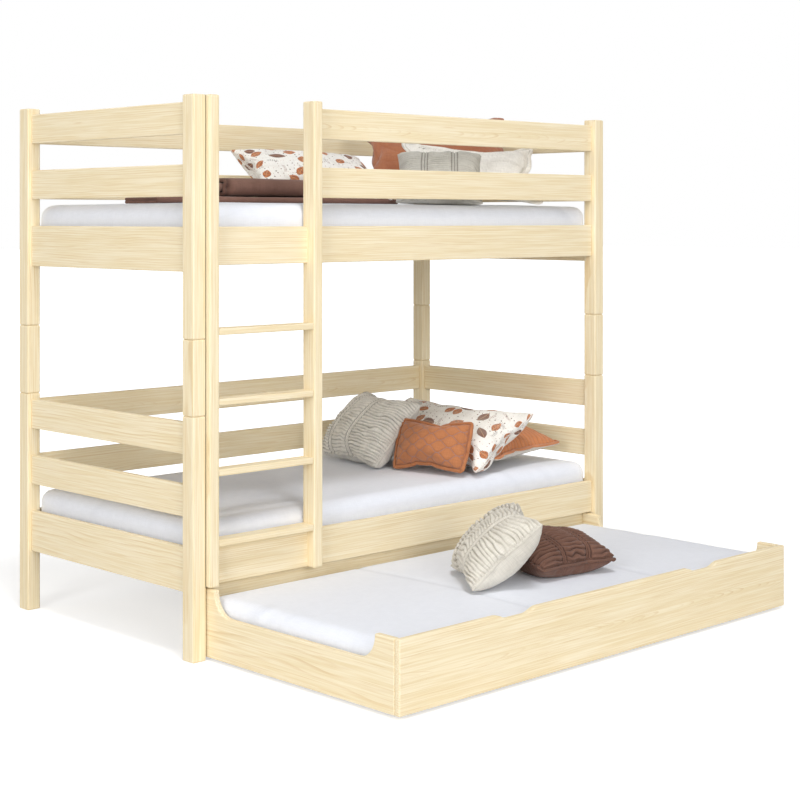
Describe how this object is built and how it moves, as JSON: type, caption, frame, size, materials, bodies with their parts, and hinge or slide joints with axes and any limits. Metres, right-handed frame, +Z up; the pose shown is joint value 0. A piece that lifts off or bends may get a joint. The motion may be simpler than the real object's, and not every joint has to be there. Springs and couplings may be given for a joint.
{
  "type": "bunk bed",
  "caption": "Solid pine bunk bed with guard boards, a fixed front ladder and a full-length trundle on castors, made up with mattresses and loose cushions.",
  "frame": {"origin": "on the floor, under the middle of the bounding box of the bed with its trundle pulled out as in the picture", "axes": "+X along the bed to the right as seen from the ladder side, +Y from the trundle towards the rear boards, +Z up"},
  "size_m": [1.98, 1.863, 1.7739],
  "materials": {
    "pine": "satin",
    "slat_pine": "matte",
    "mattress_cover": "matte",
    "cushion_cloth": "matte",
    "castor_steel": "satin",
    "castor_plastic": "matte"
  },
  "bodies": {
    "bed_frame": {"lower_post_front_left": "pine", "lower_post_front_right": "pine", "lower_post_rear_left": "pine", "lower_post_rear_right": "pine", "spacer_front_left": "pine", "spacer_front_right": "pine", "spacer_rear_left": "pine", "spacer_rear_right": "pine", "upper_post_front_left": "pine", "upper_post_front_right": "pine", "upper_post_rear_left": "pine", "upper_post_rear_right": "pine", "lower_left_end_top_board": "pine", "lower_left_end_middle_board": "pine", "lower_left_end_rail": "pine", "lower_right_end_top_board": "pine", "lower_right_end_middle_board": "pine", "lower_right_end_rail": "pine", "upper_left_end_top_board": "pine", "upper_left_end_middle_board": "pine", "upper_left_end_rail": "pine", "upper_right_end_top_board": "pine", "upper_right_end_middle_board": "pine", "upper_right_end_rail": "pine", "lower_rear_top_board": "pine", "lower_rear_middle_board": "pine", "lower_rear_rail": "pine", "upper_rear_top_board": "pine", "upper_rear_middle_board": "pine", "upper_rear_rail": "pine", "lower_front_rail": "pine", "upper_front_rail": "pine", "upper_front_top_board": "pine", "upper_front_middle_board": "pine", "ladder_left_upright": "pine", "ladder_right_upright": "pine", "ladder_rung_1": "pine", "ladder_rung_2": "pine", "ladder_rung_3": "pine", "ladder_rung_4": "pine", "lower_slats": "slat_pine", "upper_slats": "slat_pine", "lower_mattress": "mattress_cover", "upper_mattress": "mattress_cover", "lower_cushions": "cushion_cloth", "upper_cushions": "cushion_cloth"},
    "trundle": {"trundle_front_panel": "pine", "trundle_rear_panel": "pine", "trundle_left_panel": "pine", "trundle_right_panel": "pine", "trundle_slats": "slat_pine", "trundle_mattress": "mattress_cover", "castor_bracket_front_left": "castor_steel", "castor_bracket_front_right": "castor_steel", "castor_bracket_rear_left": "castor_steel", "castor_bracket_rear_right": "castor_steel"},
    "castor_wheel_front_left": {"castor_wheel_front_left": "castor_plastic"},
    "castor_wheel_front_right": {"castor_wheel_front_right": "castor_plastic"},
    "castor_wheel_rear_left": {"castor_wheel_rear_left": "castor_plastic"},
    "castor_wheel_rear_right": {"castor_wheel_rear_right": "castor_plastic"}
  },
  "joints": [
    {"name": "trundle_slide", "type": "slide", "parent": "bed_frame", "child": "trundle", "axis": [0, 1, 0], "range_m": [-0.066, 0.853]},
    {"name": "castor_spin_front_left", "type": "hinge", "parent": "trundle", "child": "castor_wheel_front_left", "pos_m": [-0.892, -0.8855, 0.02], "axis": [1, 0, 0], "continuous": true},
    {"name": "castor_spin_front_right", "type": "hinge", "parent": "trundle", "child": "castor_wheel_front_right", "pos_m": [0.892, -0.8855, 0.02], "axis": [1, 0, 0], "continuous": true},
    {"name": "castor_spin_rear_left", "type": "hinge", "parent": "trundle", "child": "castor_wheel_rear_left", "pos_m": [-0.892, -0.0585, 0.02], "axis": [1, 0, 0], "continuous": true},
    {"name": "castor_spin_rear_right", "type": "hinge", "parent": "trundle", "child": "castor_wheel_rear_right", "pos_m": [0.892, -0.0585, 0.02], "axis": [1, 0, 0], "continuous": true}
  ],
  "couplings": [
    {"joint": "castor_spin_front_left", "follows": "trundle_slide", "rad_per_m": -50},
    {"joint": "castor_spin_front_right", "follows": "trundle_slide", "rad_per_m": -50},
    {"joint": "castor_spin_rear_left", "follows": "trundle_slide", "rad_per_m": -50},
    {"joint": "castor_spin_rear_right", "follows": "trundle_slide", "rad_per_m": -50}
  ]
}
